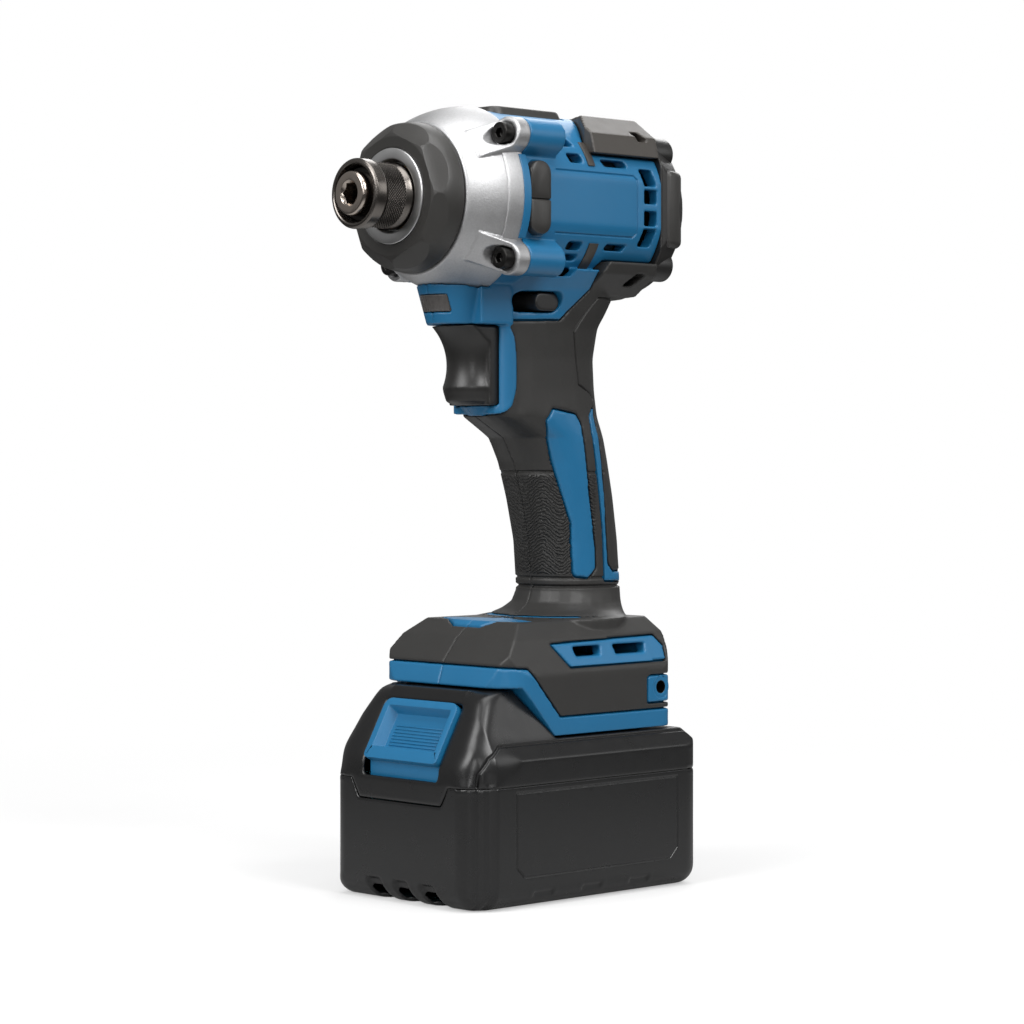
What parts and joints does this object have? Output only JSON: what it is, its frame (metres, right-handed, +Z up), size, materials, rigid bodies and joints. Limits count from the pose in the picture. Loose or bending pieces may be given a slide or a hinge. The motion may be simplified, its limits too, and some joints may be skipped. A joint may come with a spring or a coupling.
{
  "type": "impact driver",
  "caption": "Cordless brushless impact driver with pistol grip, hex bit holder with sliding sleeve, trigger, direction lever and slide-on battery pack with release button.",
  "frame": {"origin": "centre of the battery pack's underside, where the tool stands", "axes": "+X towards the bit holder, +Y to the left of the tool as held, +Z up"},
  "size_m": [0.1281, 0.073, 0.2591],
  "materials": {
    "pack_plastic": "satin moulded",
    "blue_plastic": "fine satin moulded",
    "grip_rubber": "matte textured",
    "pad_rubber": "matte",
    "cap_plastic": "satin moulded",
    "cast_aluminium": "bead blasted",
    "black_steel": "black oxide",
    "dark_steel": "polished dark",
    "steel": "ground",
    "spring_steel": "drawn wire",
    "sintered_steel": "sintered",
    "bronze": "sintered bronze",
    "copper": "enamelled winding",
    "tinned_brass": "tinned",
    "magnet": "plated",
    "board": "solder mask",
    "inner_plastic": "moulded",
    "frame_plastic": "moulded",
    "cell_can": "sleeved can",
    "lens": "clear moulded"
  },
  "bodies": {
    "tool": {"housing_left": "blue_plastic", "housing_right": "blue_plastic", "grip_cover_left": "grip_rubber", "grip_cover_right": "grip_rubber", "top_cover_left": "grip_rubber", "top_cover_right": "grip_rubber", "rear_cap": "cap_plastic", "rear_pad": "pad_rubber", "rear_cap_screws": "black_steel", "side_pads": "pad_rubber", "top_pad": "pad_rubber", "hook_inserts": "steel", "housing_screws": "black_steel", "gear_case": "cast_aluminium", "gear_case_screws": "black_steel", "nose_bumper": "pad_rubber", "front_washer": "steel", "gear_cover": "inner_plastic", "anvil_bush": "bronze", "stator_core": "sintered_steel", "stator_coils": "copper", "sensor_board": "board", "front_bearing": "steel", "rear_bearing": "steel", "ring_gear": "sintered_steel", "switch_body": "inner_plastic", "led_lens": "lens", "control_board": "board", "terminal_block": "inner_plastic", "trigger_spring": "spring_steel"},
    "rotor": {"rotor_core": "sintered_steel", "rotor_magnets": "magnet", "motor_shaft": "steel", "cooling_fan": "inner_plastic", "sun_pinion": "steel"},
    "carrier": {"spindle": "steel", "planet_pins": "steel", "cam_balls": "steel", "hammer_spring": "spring_steel"},
    "planet_1": {"planet_gear_1": "sintered_steel"},
    "planet_2": {"planet_gear_2": "sintered_steel"},
    "planet_3": {"planet_gear_3": "sintered_steel"},
    "hammer_block": {"hammer": "sintered_steel"},
    "output": {"anvil": "dark_steel", "lock_balls": "steel", "sleeve_washer": "steel", "retaining_ring": "spring_steel", "sleeve_spring": "spring_steel"},
    "sleeve": {"collet_sleeve": "dark_steel"},
    "trigger_lever": {"trigger": "cap_plastic"},
    "selector": {"direction_lever": "cap_plastic"},
    "battery": {"pack_tub": "pack_plastic", "pack_cover": "pack_plastic", "cells": "cell_can", "cell_frame_left": "frame_plastic", "cell_frame_right": "frame_plastic", "pack_board": "board", "pack_terminals": "tinned_brass", "button_spring": "spring_steel"},
    "release": {"pack_button": "blue_plastic"}
  },
  "joints": [
    {"name": "battery_slide", "type": "slide", "parent": "tool", "child": "battery", "axis": [1, 0, 0], "range_m": [0, 0.11]},
    {"name": "button_press", "type": "slide", "parent": "battery", "child": "release", "axis": [0, 0, -1], "range_m": [0, 0.004], "stiffness_N_per_m": 900, "springref_m": -0.003, "deforming": ["button_spring"]},
    {"name": "trigger_pull", "type": "slide", "parent": "tool", "child": "trigger_lever", "axis": [-1, 0, 0], "range_m": [0, 0.007], "stiffness_N_per_m": 800, "springref_m": -0.003, "deforming": ["trigger_spring"]},
    {"name": "direction_shift", "type": "slide", "parent": "tool", "child": "selector", "axis": [0, 1, 0], "range_m": [-0.003, 0.003]},
    {"name": "spindle_spin", "type": "hinge", "parent": "tool", "child": "carrier", "pos_m": [0.03, 0, 0.2275], "axis": [1, 0, 0], "continuous": true},
    {"name": "anvil_spin", "type": "hinge", "parent": "tool", "child": "output", "pos_m": [0.06, 0, 0.2275], "axis": [1, 0, 0], "continuous": true},
    {"name": "rotor_spin", "type": "hinge", "parent": "tool", "child": "rotor", "pos_m": [-0.014, 0, 0.2275], "axis": [1, 0, 0], "continuous": true},
    {"name": "hammer_slide", "type": "slide", "parent": "carrier", "child": "hammer_block", "axis": [-1, 0, 0], "range_m": [0, 0.006], "stiffness_N_per_m": 6000, "springref_m": -0.003, "deforming": ["hammer_spring"]},
    {"name": "sleeve_slide", "type": "slide", "parent": "output", "child": "sleeve", "axis": [1, 0, 0], "range_m": [0, 0.004], "stiffness_N_per_m": 1200, "springref_m": -0.003, "deforming": ["sleeve_spring"]},
    {"name": "planet_spin_1", "type": "hinge", "parent": "carrier", "child": "planet_1", "pos_m": [0.0122, 0.0105, 0.2275], "axis": [1, 0, 0], "continuous": true},
    {"name": "planet_spin_2", "type": "hinge", "parent": "carrier", "child": "planet_2", "pos_m": [0.0122, -0.00525, 0.23659], "axis": [1, 0, 0], "continuous": true},
    {"name": "planet_spin_3", "type": "hinge", "parent": "carrier", "child": "planet_3", "pos_m": [0.0122, -0.00525, 0.21841], "axis": [1, 0, 0], "continuous": true}
  ],
  "couplings": [
    {"joint": "anvil_spin", "follows": "spindle_spin", "ratio": 1},
    {"joint": "rotor_spin", "follows": "spindle_spin", "ratio": 5},
    {"joint": "planet_spin_1", "follows": "spindle_spin", "ratio": -2.6667},
    {"joint": "planet_spin_2", "follows": "spindle_spin", "ratio": -2.6667},
    {"joint": "planet_spin_3", "follows": "spindle_spin", "ratio": -2.6667}
  ]
}
